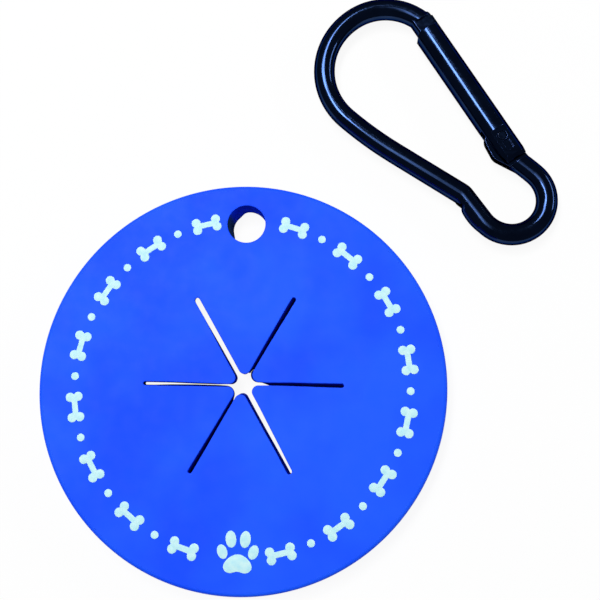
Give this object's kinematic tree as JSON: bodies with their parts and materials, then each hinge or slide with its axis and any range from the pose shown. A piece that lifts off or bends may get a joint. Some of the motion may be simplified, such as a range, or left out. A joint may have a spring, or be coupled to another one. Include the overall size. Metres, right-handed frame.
{
  "type": "pet waste bag holder",
  "caption": "Round silicone disc whose star slit grips the neck of a tied waste bag, with a hanging hole and a spring-gate carabiner.",
  "frame": {"origin": "centre of the disc's star slit, in the plane that the disc's back rests on", "axes": "+Z out of the disc's printed face, along the hanging hole's axis; +Y from the disc's centre towards the hanging hole; the carabiner lies beside the disc on the same plane"},
  "size_m": [0.0831, 0.0984, 0.0047],
  "materials": {
    "silicone": "matte blue silicone",
    "anodised": "glossy black",
    "steel": "blackened"
  },
  "bodies": {
    "disc": {"silicone_disc": "silicone"},
    "carabiner": {"carabiner_frame": "anodised"},
    "gate": {"gate": "anodised", "hinge_rivet": "steel", "gate_spring": "steel"},
    "plunger": {"gate_plunger": "steel"}
  },
  "joints": [
    {"name": "carabiner_lift", "type": "slide", "parent": "disc", "child": "carabiner", "axis": [0, 0, 1], "range_m": [0, 0.08]},
    {"name": "gate_swing", "type": "hinge", "parent": "carabiner", "child": "gate", "pos_m": [0.04141, 0.04147, 0.00236], "axis": [0, 0, 1], "range_deg": [0, 28], "stiffness_Nm_per_rad": 0.05, "springref_deg": -22.92},
    {"name": "plunger_slide", "type": "slide", "parent": "gate", "child": "plunger", "axis": [-0.5444, 0.8388, 0], "range_m": [0, 0.0004], "deforming": ["gate_spring"]}
  ],
  "couplings": [
    {"joint": "plunger_slide", "follows": "gate_swing", "m_per_rad": 0.0006}
  ]
}
